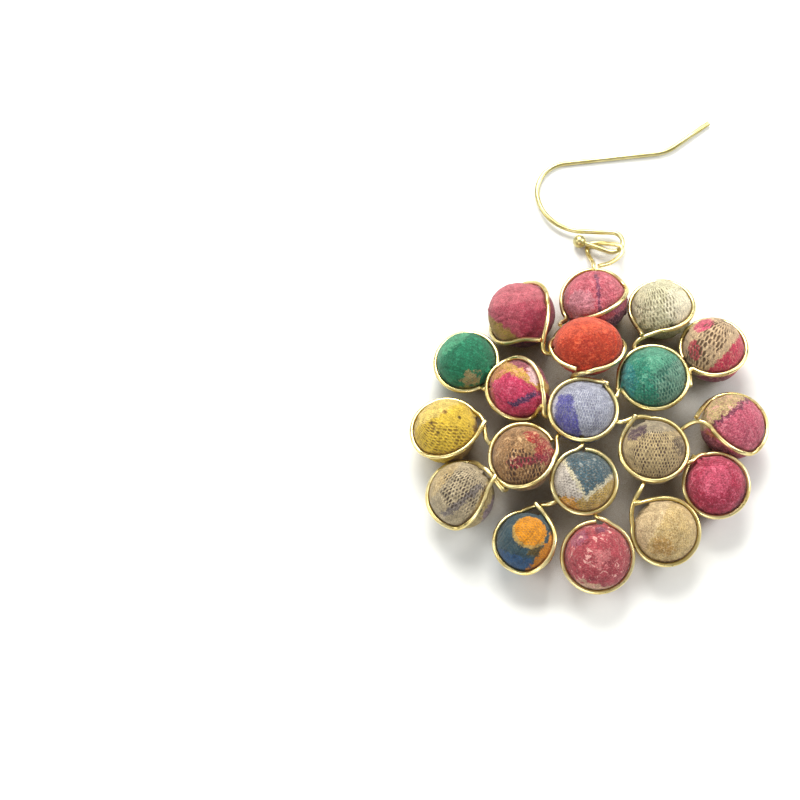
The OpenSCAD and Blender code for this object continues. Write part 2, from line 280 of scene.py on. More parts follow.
LOOP_ROWS = {
    "top_pink": (300, 47, 0, 4, 228, -1, "vermilion", 136, 22, 0.4, 20),
    "white": (285, 26, 12, 4, 232, -1, "teal", 118, 36, 0.4, 20),
    "red_beige": (275, 20, 12, 4, 208, -1, "teal", -12, 20, 0, 10),
    "pink": (214, 42, 4, 4, 172, -1, "khaki", 40, 34, 0.4, 20),
    "magenta": (100, 8, 8, 14, 141, 1, "khaki", -18, 36, 0.4, 20),
    "tan": (100, 14, 14, 12, 134, -1, "khaki", -108, 40, 0.4, 20),
    "rose": (90, 14, 14, 8, 82, 1, "slate", -72, 16, 0, 10),
    "blue_orange": (0, 26, 0, 6, 63, -1, "slate", -145, 36, 0.4, 20),
    "taupe": (350, 44, 8, 2, 12, -1, "red_tan", -122, 30, 0.4, 10),
    "yellow": (310, 26, 10, 4, 356, -1, "red_tan", 156, 38, 0.4, 20),
    "green": (331, 10, 10, 0, 322, 1, "hot_pink", 178, 28, 0, 8),
    "raspberry": (338, 44, 48, 10, 312, -1, "vermilion", 192, 52, 0.6, 20),
    "vermilion": (270, 20, 42, 0, 255, -1, "lavender", 105, 24, 0, 1),
    "teal": (280, 2, 4, 10, 168, -1, "lavender", 25, 38, 0.4, 20),
    "khaki": (270, 4, 4, 14, 131, 1, "lavender", -20, 38, 0.4, 20),
    "slate": (90, 6, 6, 14, 90, -1, "lavender", -92, 14, 0, 3),
    "red_tan": (320, 20, 0, 8, 8, 1, "lavender", -132, 18, 0, 16),
    "hot_pink": (20, 48, -4, 6, 315, -1, "lavender", 190, 36, 0.4, 10),
    "lavender": (90, 0, 0, 18, 54, 1, None, 0, 20, 0.4, 20),
}
BEADS = {name: dict(zip(BEAD_COLUMNS, row)) for name, row in BEAD_ROWS.items()}
LOOPS = {name: dict(zip(LOOP_COLUMNS, row)) for name, row in LOOP_ROWS.items()}
print("beads:", len(BEADS), "wires round them:", len(LOOPS))

# %% [markdown]
# ## Where each wire runs
# A wire has to lie on its bead and end hooked on its holder. Both are worked out by the same formulas as
# in the part's source, only with more points along the way, so the smooth wires lie exactly where the
# faceted ones do.

# %% Lines in space


def unit(v):
    return v / np.linalg.norm(v)


def bearing(angle):
    return np.array([math.cos(math.radians(angle)), math.sin(math.radians(angle)), 0.0])


def bezier(a, b, c, d, u):
    v = 1 - u
    return v ** 3 * a + 3 * v * v * u * b + 3 * v * u * u * c + u ** 3 * d


def strand(a, b, c, d, count):
    return [bezier(a, b, c, d, i / (count - 1)) for i in range(count)]


# %% The wire on its bead
CLOTH_GAP = 0.12
LOOP_WIRE = 0.65
WIRE_GAP = 0.14
WOUND = LOOP_WIRE + WIRE_GAP
FOLD = 0.45


def half_size(name):
    bead = BEADS[name]
    return np.array([bead["half_w"], bead["half_d"], bead["half_d"]])


def centre(name):
    bead = BEADS[name]
    return np.array([bead["x"], bead["y"], bead["under"] + bead["half_d"]])


def out_of_loop(name, t):
    """The outward direction of a wire at t degrees from its rising side."""
    loop = LOOPS[name]
    turn = math.radians(t)
    share = min(max((math.cos(turn) + FOLD) / (2 * FOLD), 0), 1)
    share = share * share * (3 - 2 * share)
    lean = math.radians(loop["back"] + (loop["front"] - loop["back"]) * share)
    towards = math.cos(lean) * bearing(loop["rise"]) + math.sin(lean) * UP
    sideways = math.sin(turn) * bearing(loop["rise"] + 90)
    return unit(math.cos(turn) * towards + sideways + math.sin(math.radians(loop["base"])) * UP)


def hug(name, t):
    """The point of a wire on its bead at t degrees."""
    out = out_of_loop(name, t)
    size = half_size(name)
    skin = size * size * out / np.linalg.norm(size * out)
    return centre(name) + skin + (LOOP_WIRE / 2 + CLOTH_GAP) * out


def along(name, t):
    return unit(hug(name, t + 1) - hug(name, t - 1))


# %% The tail hooked on the neighbour
WRAP_START = 90
WRAP_END = 180
FROM_BELOW = -1
FROM_ABOVE = 1
# How far a tail slides along its holder's wire with each degree
SLIDE = 0.0016 * LOOP_WIRE


def grip(name, at, side):
    """The place on a holder's wire: its point, direction, outward and sideways."""
    t = at - LOOPS[name]["rise"]
    point = hug(name, t)
    run = along(name, t)
    from_bead = point - centre(name)
    out = unit(from_bead - (from_bead @ run) * run)
    sideways = unit(np.cross(run, out))
    return point, run, out, -sideways if sideways[2] * side < 0 else sideways


def wound(place, angle, slide):
    point, run, out, sideways = place
    turn = math.radians(angle)
    return point + WOUND * (math.cos(turn) * out + math.sin(turn) * sideways) + slide * run


# %% The whole wire
# Shares of the way from one end to the other that a smooth bend keeps its direction
LEAVE = 0.5
RISE_OFF = 0.2
ARRIVE = 0.35
HEAD_LEAVE = 0.5
HEAD_ARRIVE = 0.3
FREE_ARRIVE = 0.3
# How far a head runs past the tail that it crosses, and the room that it keeps there
HEAD_PAST = 0.15
HEAD_ROOM = 0.02
# Where the tail of the middle wire, which hooks on nothing, ends
FREE_REACH = 1.08
FREE_RISE = 1.2
FREE_STEP = 0.5
RING_POINTS = 110
TAIL_POINTS = 18
WRAP_POINTS = 30
HEAD_POINTS = 12


def loop_route(name):
    """The middle line of one wire: the end that crosses, the stretch on the bead and the hooked tail."""
    loop = LOOPS[name]
    side = loop["side"]
    start_at = loop["open"] if loop["crosses"] > 0 else loop["plain"]
    first = loop["apex"] - loop["rise"] + side * start_at
    last = loop["apex"] - loop["rise"] + side * (360 - loop["open"])
    ring = [hug(name, first + (last - first) * i / (RING_POINTS - 1)) for i in range(RING_POINTS)]
    start = ring[0]
    end = ring[-1]
    middle = centre(name)
    on_along = side * along(name, last)
    sideways = unit(start - end)
    if loop["holder"] is None:
        far = FREE_REACH * np.linalg.norm(start - middle)
        target = middle + far * bearing(loop["apex"]) + FREE_RISE * UP + FREE_STEP * sideways
        reach = np.linalg.norm(target - end)
        bend_a = end + LEAVE * reach * on_along
        bend_b = target - FREE_ARRIVE * reach * sideways
        turns = []
    else:
        place = grip(loop["holder"], loop["at"], FROM_BELOW)
        target = wound(place, WRAP_START, 0)
        reach = np.linalg.norm(target - end)
        bend_a = end + LEAVE * reach * on_along + RISE_OFF * reach * unit(end - middle)
        bend_b = target + ARRIVE * reach * place[2]
        slide = SLIDE if place[1] @ (end - start) > 0 else -SLIDE
        wrap = WRAP_END - WRAP_START
        steps = [wrap * i / WRAP_POINTS for i in range(1, WRAP_POINTS + 1)]
        turns = [wound(place, WRAP_START + turn, slide * turn) for turn in steps]
    tail = strand(end, bend_a, bend_b, target, TAIL_POINTS)
    if loop["crosses"] > 0:
        meet = bezier(end, bend_a, bend_b, target, loop["crosses"])
        towards = unit(meet - start)
        apart = unit(np.cross(towards, target - end))
        away = -apart if apart @ (meet - middle) < 0 else apart
        crossing = meet + (WOUND + HEAD_ROOM) * away
        run_up = np.linalg.norm(crossing - start)
        back_along = -side * along(name, first)
        bend_c = crossing - HEAD_ARRIVE * run_up * towards
        bend_d = start + HEAD_LEAVE * run_up * back_along
        head = [crossing + HEAD_PAST * towards]
        head += strand(crossing, bend_c, bend_d, start, HEAD_POINTS)
    else:
        head = [start]
    return head + ring[1:-1] + tail + turns


routes = {name: loop_route(name) for name in LOOPS}
print("longest wire has", max(len(route) for route in routes.values()), "points")

# %% [markdown]
# ## Bending the wires
# A jeweller's wire is round and keeps its thickness through a bend. In Blender that is a curve with a round
# bevel: the curve is the middle line and the bevel gives the section. It is then turned into a mesh and
# the rim of each cut end is broken with a small bevel, as a file would.

# %% A wire along a route
WIRE_SIDES = 16
WELD = 0.001
FILED = 0.08
FILED_STEPS = 3
CUT_EDGE = 60
SMOOTH_UNDER = 40


def bend_wire(name, route, width):
    """A round wire in metres along a route in millimetres, as a closed mesh."""
    bpy.ops.object.select_all(action="DESELECT")
    line = bpy.data.curves.new(name, "CURVE")
    line.dimensions = "3D"
    spline = line.splines.new("POLY")
    spline.points.add(len(route) - 1)
    for point, place in zip(spline.points, route):
        point.co = (*((place - MIDDLE) * MM), 1)
    line.bevel_depth = width / 2 * MM
    # A round bevel has four sides, and two more for each step of its resolution
    line.bevel_resolution = WIRE_SIDES // 2 - 2
    line.use_fill_caps = True
    wire = bpy.data.objects.new(name, line)
    bpy.context.collection.objects.link(wire)
    wire.select_set(True)
    bpy.context.view_layer.objects.active = wire
    bpy.ops.object.convert(target="MESH")
    wire = bpy.context.object
    bpy.ops.object.mode_set(mode="EDIT")
    bpy.ops.mesh.select_all(action="SELECT")
    bpy.ops.mesh.remove_doubles(threshold=WELD * MM)
    bpy.ops.mesh.normals_make_consistent(inside=False)
    bpy.ops.object.mode_set(mode="OBJECT")
    broken = wire.modifiers.new("filed_ends", "BEVEL")
    broken.width = FILED * MM
    broken.segments = FILED_STEPS
    broken.limit_method = "ANGLE"
    broken.angle_limit = math.radians(CUT_EDGE)
    bpy.ops.object.modifier_apply(modifier=broken.name)
    bpy.ops.object.shade_smooth_by_angle(angle=math.radians(SMOOTH_UNDER))
    return wire


# %% [markdown]
# ## The gold
# The wire is brass with a thin pale gold plating, and the ear wire's plating is a little greener. Plating
# mirrors the room, so its colour is a pale champagne and its roughness is low, with a little unevenness
# left by the pliers and by the drawing of the wire. Real gold plate is never flat, so both the colour and
# the gloss wander slightly.

# %% The gold finish
PLATE_SCALE = 300.0
PLATE_DETAIL = 3.0
PLATE_ENDS = (0.3, 0.7)
MARK_SCALE = 1800.0
MARK_ENDS = (0.3, 0.75)
MARK_ROUGHENS = 0.1
UNEVEN_STRENGTH = 0.05
UNEVEN_DEPTH = 0.03


def gold(name, pale, deep, rough):
    finish = Finish(name)
    place = finish.object_place()
    wander = finish.noise(place, PLATE_SCALE, PLATE_DETAIL)
    marks = finish.noise(place, MARK_SCALE)
    colour = finish.blend(finish.ramp(wander, *PLATE_ENDS), linear(pale), linear(deep))
    gloss = finish.ramp(marks, *MARK_ENDS, rough, rough + MARK_ROUGHENS)
    normal = finish.bump(wander, UNEVEN_STRENGTH, UNEVEN_DEPTH)
    finish.set(base_color=colour, metallic=1.0, roughness=gloss, normal=normal)
    return finish.material


loop_gold = gold("loop_gold", pale="#F2E5AE", deep="#DBC782", rough=0.27)
ear_gold = gold("ear_wire_gold", pale="#D8D09C", deep="#BEB274", rough=0.3)
print("gold mixed for the loops and the ear wire")

# %% The nineteen wires
for name, route in routes.items():
    wire = bend_wire(f"wire_{name}", route, LOOP_WIRE)
    wire.data.materials.append(loop_gold)
    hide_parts(f"loop_{name}")
    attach(wire, "root")
print("wires bent:", len(routes))

# %% [markdown]
# ## The eye
# The eye is one more wire. It starts beside the top bead, runs over the ear wire's small bend, back under
# its short arm and ends wound on the top bead's wire. It is drawn through a few points with a smooth line
# that passes through each of them.

# %% The eye's route
EYE_BEAD = "top_pink"
EYE_AT = 92
EYE_WRAP_START = 30
EYE_WRAP_END = 250
EYE_STEPS = 8
# Places that the eye's middle line passes: to the right, up the picture and over the table
EYE_POINTS = [
    (2.7, 23.5, 4.0), (4.3, 24.3, 3.1), (5.6, 25.4, 2.5), (6.3, 26.4, 2.2), (6.2, 27.3, 2.15),
    (5.3, 27.9, 1.7), (4.1, 28.3, 1.05), (2.9, 28.6, 0.55), (1.9, 28.5, 0.37), (1.3, 27.8, 0.37),
    (1.4, 26.8, 0.6), (1.7, 25.6, 1.6), (2.0, 24.4, 2.9),
]


def smooth_line(points, steps):
    """A line that passes through every point without a corner."""
    last = len(points) - 1
    line = []
    for i in range(last):
        a, b, c, d = points[max(i - 1, 0)], points[i], points[i + 1], points[min(i + 2, last)]
        for j in range(steps):
            u = j / steps
            bend = (2 * a - 5 * b + 4 * c - d) * u * u + (3 * b - a - 3 * c + d) * u ** 3
            line.append(0.5 * (2 * b + (c - a) * u + bend))
    return line + [points[last]]


eye_place = grip(EYE_BEAD, EYE_AT, FROM_ABOVE)
eye_wrap = EYE_WRAP_END - EYE_WRAP_START
eye_turns = []
for i in range(WRAP_POINTS + 1):
    turn = eye_wrap * i / WRAP_POINTS
    eye_turns.append(wound(eye_place, EYE_WRAP_START + turn, -SLIDE * turn))
eye_line = smooth_line([np.array(p) for p in EYE_POINTS] + [eye_turns[0]], EYE_STEPS)
eye_wire = bend_wire("eye", eye_line + eye_turns[1:], LOOP_WIRE)
eye_wire.data.materials.append(loop_gold)
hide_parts("wire_eye")
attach(eye_wire, "root")
print("eye bent from", len(eye_line) + len(eye_turns) - 1, "points")

# %% [markdown]
# ## The ear wire
# The ear wire is bent flat, from straights and round bends, and ends in a small cast ball. It lies tilted,
# on its long arm and on the eye. The ball is a sphere of its own that a Boolean modifier joins to the wire,
# so that both are one skin, as where the ball was melted on.

# %% The ear wire's route
HOOK_WIRE = 0.7
BALL_D = 1.9
HOOK_TILT = 3.32
BALL_AT = np.array([0.15, 28.58, 0.0])
START_BEARING = -21.6
# Each row is a straight, then the radius and the turn of the bend after it
HOOK_BENDS = [(4.5, 1.6, 198.6), (4.6, 6.8, -77), (0, 4.9, -93.5), (13.6, 6.0, 30.5)]
TIP_LENGTH = 6.5
REST_AT = np.array([-3.0, 41.2, 0.0])
REST_BEARING = 17
REST_GAP = 0.02
DEGREES_A_POINT = 3

place = BALL_AT
heading = START_BEARING
hook_line = [place]
for straight, radius, turn in HOOK_BENDS:
    to_left = 1 if turn > 0 else -1
    if straight > 0:
        place = place + straight * bearing(heading)
        hook_line.append(place)
    middle = place + radius * bearing(heading + 90 * to_left)
    count = math.ceil(abs(turn) / DEGREES_A_POINT)
    for i in range(1, count + 1):
        hook_line.append(middle - radius * bearing(heading + turn * i / count + 90 * to_left))
    place = hook_line[-1]
    heading = heading + turn
hook_line.append(place + TIP_LENGTH * bearing(heading))
tilt = np.array(Matrix.Rotation(math.radians(-HOOK_TILT), 3, Vector(bearing(REST_BEARING))))
rest_height = (HOOK_WIRE / 2 + REST_GAP) * UP
hook_line = [tilt @ (p - REST_AT) + REST_AT + rest_height for p in hook_line]
print("ear wire drawn through", len(hook_line), "points")

# %% The ear wire and its ball
BALL_SEGMENTS = 48
BALL_RINGS = 32

ear_wire = bend_wire("ear_wire", hook_line, HOOK_WIRE)
bpy.ops.object.select_all(action="DESELECT")
ball_place = Vector((hook_line[0] - MIDDLE) * MM)
bpy.ops.mesh.primitive_uv_sphere_add(
    segments=BALL_SEGMENTS, ring_count=BALL_RINGS, radius=BALL_D / 2 * MM, location=ball_place
)
ball = bpy.context.object
bpy.ops.object.transform_apply(location=True, rotation=True, scale=True)
melted = ear_wire.modifiers.new("melted_ball", "BOOLEAN")
melted.operation = "UNION"
melted.solver = "EXACT"
melted.object = ball
bpy.ops.object.select_all(action="DESELECT")
ear_wire.select_set(True)
bpy.context.view_layer.objects.active = ear_wire
bpy.ops.object.modifier_apply(modifier=melted.name)
bpy.data.objects.remove(ball)
bpy.ops.object.shade_smooth_by_angle(angle=math.radians(SMOOTH_UNDER))
ear_wire.data.materials.clear()
ear_wire.data.materials.append(ear_gold)
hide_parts("ear_hook")
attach(ear_wire, "root")
print("ear wire has", len(ear_wire.data.polygons), "faces")

# %% [markdown]
# ## The balls of cloth
# Each bead is a core wound with strips of thin cloth. All nineteen start from one ball: a cube that is cut
# into a fine grid and blown up to a sphere, because a grid has no crowded poles. A copy for each bead is
# stretched to its size and wound: the surface is lifted under each strip, pressed in along the strip's
# edge, and drawn into a small pit with wrinkles at the two ends of the winding. Last it meets its wires:
# it is pressed in where a wire would cut it and drawn up where a wire would stand clear, because on the
# real bead the taut wire lies in the cloth and no light shows between them.

# %% One plain ball
GRID = 52

bpy.ops.object.select_all(action="DESELECT")
bpy.ops.mesh.primitive_cube_add(size=2)
plain_ball = bpy.context.object
bpy.ops.object.mode_set(mode="EDIT")
bpy.ops.mesh.select_all(action="SELECT")
bpy.ops.mesh.subdivide(number_cuts=GRID - 1)
bpy.ops.object.mode_set(mode="OBJECT")
blown = plain_ball.modifiers.new("blown_up", "CAST")
blown.factor = 1
blown.use_radius_as_size = False
blown.size = 1
bpy.ops.object.modifier_apply(modifier=blown.name)
print("one ball has", len(plain_ball.data.polygons), "faces")

# %% Directions as the camera sees them
# In radii: farther out than any point of a bead, and just inside its outline
NO_LIMIT = 2.0
RIM = 0.999


def seen(turn, tilt):
    """A direction from a bead's middle: turned in the picture from its right, and tilted to the camera."""
    flat = math.cos(math.radians(turn)) * picture_right + math.sin(math.radians(turn)) * picture_up
    return math.cos(math.radians(tilt)) * flat - math.sin(math.radians(tilt)) * look


def band(turn, low, high=NO_LIMIT):
    """A stripe across the picture of a bead, between two distances from its middle in radii."""
    return (seen(turn, 0), low, high, 1.0)


def spot(right, above, reach):
    """A round place on a bead, by where the camera sees it and how far it reaches, in radii."""
    off = math.hypot(right, above)
    tilt = math.degrees(math.acos(min(off, RIM)))
    middle = seen(math.degrees(math.atan2(above, right)), tilt)
    return (middle, math.cos(reach), NO_LIMIT, 1 / math.sin(reach))


# %% [markdown]
# ## What each bead is wound with
# The first table gives the cloth of each bead: the colours of its ground, its pale yarn and its dark gaps,
# the `pitch` of its weave in millimetres, how `tall` a mesh is against its width, how `open` the weave
# looks and how far its holes `gape`, how strongly the yarn is flecked (`speckle`) and `frayed`, and where
# the winding ends (`poles`: a turn in the picture and a tilt to the camera). Where the weave has worn
# loose, its place is in the second table. The third gives the printed places, each with its colour, how
# ragged its edge is, and the stripes or round places that bound it. Among them are darker rims on the
# sides turned from the light, which are painted shade.

# %% The cloths
CLOTH_COLUMNS = ("ground", "pale", "dark", "pitch", "tall", "open", "gape", "speckle", "frayed", "poles")
CLOTH_ROWS = {
    "top_pink": ("#C65E6E", "#EAA4AC", "#84384E", 0.42, 1.0, 0.25, 0.8, 0.9, 0.35, (92, 25)),
    "white": ("#CAC6A6", "#F0ECD8", "#6A654A", 0.5, 1.5, 0.85, 0.95, 0.5, 0.15, (108, 10)),
    "red_beige": ("#BFA483", "#E4D0AE", "#54402C", 0.62, 1.5, 1.0, 1.05, 0.5, 0.3, (66, 10)),
    "pink": ("#C25870", "#E596A4", "#7A2E48", 0.42, 1.2, 0.4, 0.8, 0.95, 0.6, (40, 10)),
    "magenta": ("#A82646", "#DC7890", "#6E1832", 0.4, 1.0, 0.3, 0.8, 1.0, 0.7, (20, 5)),
    "tan": ("#C8AE76", "#EAD9B2", "#8A6438", 0.4, 1.0, 0.35, 0.8, 0.75, 0.35, (75, 10)),
    "rose": ("#AC424E", "#E0B0A8", "#6C202C", 0.42, 1.0, 0.3, 0.8, 0.5, 1.25, (15, 8)),
    "blue_orange": ("#2C4854", "#8E8E74", "#1E303C", 0.44, 1.0, 0.3, 0.8, 0.3, 0.15, (150, 8)),
    "taupe": ("#A89A7E", "#D6CAAE", "#40352C", 0.48, 1.2, 1.0, 0.95, 0.6, 0.3, (52, 8)),
    "yellow": ("#D2B236", "#EAD06A", "#6E5216", 0.5, 1.5, 0.85, 0.95, 0.5, 0.25, (158, 10)),
    "green": ("#087250", "#3FA07A", "#0B4A38", 0.4, 1.0, 0.25, 0.8, 0.8, 0.3, (60, 6)),
    "raspberry": ("#B24A5C", "#D88490", "#7C2A40", 0.34, 1.0, 0.35, 0.8, 0.6, 0.15, (85, 8)),
    "vermilion": ("#C0381A", "#EC724A", "#9A2214", 0.36, 1.0, 0.2, 0.8, 1.0, 0.7, (95, 60)),
    "teal": ("#447E6C", "#94C4AC", "#1C5448", 0.5, 1.4, 0.95, 1.0, 0.6, 0.3, (110, 10)),
    "khaki": ("#AE9A72", "#D6C69C", "#42302A", 0.48, 1.05, 1.0, 0.84, 0.5, 0.25, (88, 8)),
    "slate": ("#C6BEB6", "#DCDACE", "#5C564C", 0.46, 1.0, 0.6, 0.85, 0.5, 0.4, (10, 8)),
    "red_tan": ("#98724A", "#D8B88C", "#422A1C", 0.56, 1.4, 1.0, 1.12, 0.85, 0.8, (97, 8)),
    "hot_pink": ("#C6345C", "#EE86A2", "#8E2248", 0.38, 1.0, 0.25, 0.8, 0.95, 0.3, (25, 6)),
    "lavender": ("#A4A9BC", "#D8DAE2", "#686A84", 0.42, 1.3, 0.7, 0.95, 0.55, 0.15, (85, 8)),
}
CLOTHS = {name: dict(zip(CLOTH_COLUMNS, row)) for name, row in CLOTH_ROWS.items()}
LOOSE = {
    "white": spot(-0.3, 0.0, 0.79),
    "red_beige": band(140, -0.12, 0.62),
    "taupe": spot(0.0, 0.28, 0.74),
    "yellow": band(-100, -0.25, 0.72),
    "teal": band(-35, -0.12, 0.9),
    "khaki": spot(0.12, -0.1, 0.94),
    "red_tan": spot(-0.05, -0.35, 0.66),
}
print("cloths:", len(CLOTHS), "worn loose:", len(LOOSE))

# %% The prints, and the painted shade on the rims turned from the light
PRINTS_AND_PAINTED_SHADE = {
    "top_pink": [
        ("#C8808E", 0.7, spot(-0.55, -0.1, 0.5)),
        ("#D03C50", 0.6, spot(-0.1, -0.75, 0.44)),
        ("#9A4A6C", 0.6, band(-35, 0.62, 0.76), band(60, 0.0)),
        ("#7A3A5C", 0.3, band(4, 0.02, 0.12), band(90, -0.4, 0.95)),
        # painted shade: a darker rim on the side turned from the light
        ("#5A2A45", 0.25, band(-58, 0.66)),
    ],
    "white": [
        ("#E2DCC2", 0.6, spot(0.6, 0.1, 0.64)),
        # painted shade: a darker rim on the side turned from the light
        ("#B4B086", 0.6, band(-60, 0.76)),
        ("#4E4C30", 0.8, spot(0.3, -0.6, 0.17)),
    ],
    "red_beige": [
        ("#C8506E", 0.4, spot(-0.39, 0.78, 0.34)),
        ("#A83C48", 0.4, spot(-0.72, -0.02, 0.32)),
        ("#BE3452", 0.35, band(-45, 0.28)),
        # painted shade: a darker rim on the side turned from the light
        ("#7A2A4C", 0.2, band(-90, 0.80)),
    ],
    "pink": [
        ("#C2AE7A", 0.3, band(126, 0.44)),
        ("#6A2A44", 0.7, band(126, 0.36, 0.5), band(36, -0.5)),
        ("#B8703C", 0.8, spot(-0.75, -0.35, 0.3)),
        # painted shade: a darker rim on the side turned from the light
        ("#7E3A44", 0.3, band(-125, 0.66)),
    ],
    "magenta": [
        ("#C24A66", 1.0, spot(-0.1, 0.25, 0.54)),
        # painted shade: a darker rim on the side turned from the light
        ("#8A2444", 0.3, band(-30, 0.8)),
    ],
    "tan": [
        ("#BA9454", 1.6, spot(-0.1, -0.45, 0.34)),
        ("#CDB68C", 0.5, band(150, 0.35)),
        # painted shade: a darker rim on the side turned from the light
        ("#A8884E", 0.4, band(-90, 0.86)),
    ],
    "rose": [
        ("#C46E72", 1.5, spot(0.1, 0.0, 0.32)),
        ("#C9A488", 0.9, band(-100, 0.76)),
        ("#7A3A56", 0.6, spot(0.1, 0.86, 0.18)),
        ("#9E5068", 0.8, spot(-0.6, 0.6, 0.3)),
    ],
    "blue_orange": [
        ("#28507A", 0.6, band(-110, 0.45, 0.9)),
        ("#54461E", 0.5, band(-20, 0.1, 0.8), band(70, -0.3, 0.1)),
        ("#C47A04", 0.6, band(-36, 0.5)),
        ("#D8902A", 0.5, band(0, 0.76), band(90, -0.5, 0.4)),
        ("#B8954C", 0.4, spot(0.1, 0.46, 0.62)),
        ("#D88C00", 0.35, spot(0.14, 0.51, 0.57)),
    ],
    "taupe": [
        ("#B09A6E", 0.4, band(140, 0.66)),
        ("#AE9A66", 0.3, band(-25, 0.5)),
        ("#6E6664", 0.6, band(-51, 0.0, 0.2), band(39, -0.8, 0.7)),
        # painted shade: a darker rim on the side turned from the light
        ("#83707A", 0.3, band(-25, 0.86)),
    ],
    "yellow": [
        ("#D8BE66", 0.5, band(120, 0.55)),
        # painted shade: a darker rim on the side turned from the light
        ("#92702E", 0.4, band(-5, 0.86)),
        ("#5E4416", 0.03, spot(-0.46, 0.26, 0.06)),
        ("#5E4416", 0.03, spot(-0.38, 0.08, 0.05)),
        ("#5E4416", 0.03, spot(-0.26, -0.04, 0.05)),
        ("#5E4416", 0.03, spot(0.4, 0.43, 0.06)),
        ("#86622A", 0.1, spot(-0.05, 0.6, 0.08)),
        # painted shade: a darker rim on the side turned from the light
        ("#96743A", 0.3, band(-50, 0.76)),
    ],
    "green": [
        ("#4A9A74", 0.6, band(130, 0.66)),
        ("#A08E62", 1.3, spot(0.14, -0.58, 0.32)),
        ("#9A9848", 0.5, band(-80, 0.8)),
    ],
    "raspberry": [
        ("#C26672", 0.6, band(100, 0.35)),
        ("#9E2C46", 0.6, spot(0.4, -0.35, 0.49)),
        ("#A48A3C", 0.4, band(-128, 0.62)),
        # painted shade: the next two rows are darker rims on the sides turned from the light
        ("#7C2E42", 0.2, band(-5, 0.76)),
        ("#4A2434", 0.2, band(-92, 0.82)),
    ],
    "vermilion": [
        ("#D8553A", 1.0, band(100, 0.35)),
        ("#B83420", 1.2, spot(-0.05, 0.0, 0.3)),
    ],
    "teal": [
        ("#648E7C", 0.9, band(-40, 0.12)),
        ("#4A947A", 0.7, band(120, 0.2)),
        ("#26806A", 1.3, band(200, 0.1)),
        ("#1E7E80", 1.2, spot(-0.9, 0.0, 0.5)),
        # painted shade: a darker rim on the side turned from the light
        ("#2A6450", 0.4, band(-105, 0.84)),
    ],
    "khaki": [
        ("#968A74", 0.5, band(95, 0.62)),
        ("#54404A", 0.9, spot(-0.56, 0.66, 0.32)),
        ("#74644E", 0.9, spot(0.78, 0.25, 0.3)),
    ],
    "slate": [
        ("#C2A456", 0.7, band(-62, 0.3)),
        ("#DCA03C", 0.8, spot(-0.5, -0.68, 0.34)),
        ("#DAD2B2", 0.6, band(31, -0.26, -0.06), band(128, -0.4)),
        ("#DAD2B2", 0.6, band(128, -0.42, -0.22), band(31, -0.2)),
        ("#3C5A68", 0.6, band(31, -0.15), band(128, -0.3)),
        ("#34525E", 0.5, band(88, 0.76)),
    ],
    "red_tan": [
        ("#A02C26", 0.6, spot(0.3, 0.7, 0.28)),
        ("#96282C", 0.8, spot(0.7, 0.24, 0.42)),
        ("#8A2438", 0.6, band(98, -0.2, 0.1), band(8, -0.5, 0.85)),
    ],
    "hot_pink": [
        ("#B8863C", 0.5, band(125, 0.7)),
        ("#CFA84A", 0.5, band(60, 0.34, 0.66)),
        ("#8A4450", 0.4, band(60, 0.66)),
        ("#EACACA", 0.5, spot(0.5, 0.42, 0.24)),
        ("#EACACA", 0.5, spot(0.42, 0.68, 0.2)),
        ("#46305C", 0.6, band(-63, 0.22, 0.42), band(27, -0.5, 0.45)),
        ("#A8482E", 0.3, band(190, 0.84)),
    ],
    "lavender": [
        ("#5452A0", 0.45, band(194, 0.228), band(100, -NO_LIMIT, 0.66)),
        ("#C8C8DA", 0.4, band(175, 0.84)),
    ],
}
print("printed places:", sum(len(places) for places in PRINTS_AND_PAINTED_SHADE.values()))

# %% [markdown]
# ## The cloth finish
# On the ground go the printed places and the painted shade on the rims turned from the light, which read
# Object coordinates, then the flecks of the yarn, and frayed streaks of bare yarn with dark cracks beside
# them. The weave follows the winding, so it reads a map that runs round and along each ball, counted in
# meshes. The holes stand in rows like bricks, are taller than wide, and each has its own size, as in old
# gauze, and the threads between them are brightened with a painted highlight. Where a wire lies on it,
# painted shade darkens the cloth. Cloth is dull and has a soft sheen.

# %% The noises of the cloth
# Their scales are counted over the radius of a bead
NOISES = {
    "print_edge": {"scale": 6.5, "detail": 5.0, "rough": 0.7},
    "flecks": {"scale": 14.0, "detail": 4.0, "rough": 0.72},
    "age": {"scale": 4.5, "detail": 3.0},
    "grain": {"scale": 30.0, "detail": 2.0, "rough": 0.6},
    "streaks": {"scale": 4.2, "detail": 4.0, "rough": 0.7, "twist": 0.7},
    "drift": {"scale": 3.2, "detail": 3.0, "output": 1},
    "wear": {"scale": 3.4, "detail": 3.0},
    "loose_edge": {"scale": 4.0, "detail": 3.0},
}
print("noises:", len(NOISES))

# %% Ground and prints
SOFT_EDGE = 0.03


def inside(finish, place, ragged, bounds):
    """How far a point lies in a place on the cloth, from 0 to 1."""
    share = None
    out = finish.vector("NORMALIZE", place, None)
    for direction, low, high, steep in bounds:
        off = finish.vector("DOT_PRODUCT", out, tuple(direction), 1)
        past = finish.number("MULTIPLY_ADD", finish.number("SUBTRACT", off, low), steep, ragged)
        here = finish.ramp(past, -SOFT_EDGE, SOFT_EDGE)
        if high < NO_LIMIT:
            left = finish.number("SUBTRACT", high, finish.number("ADD", off, ragged))
            here = finish.times(here, finish.ramp(left, -SOFT_EDGE, SOFT_EDGE))
        share = here if share is None else finish.times(share, here)
    return share


def prints_and_painted_shade(finish, place, rough_edge, name):
    """The ground colour with every printed place on it, and the painted shade on the rims turned from the
    light.
    """
    colour = linear(CLOTHS[name]["ground"])
    for code, ragged, *bounds in PRINTS_AND_PAINTED_SHADE[name]:
        share = inside(finish, place, finish.times(rough_edge, ragged), bounds)
        colour = finish.blend(share, colour, linear(code))
    return colour


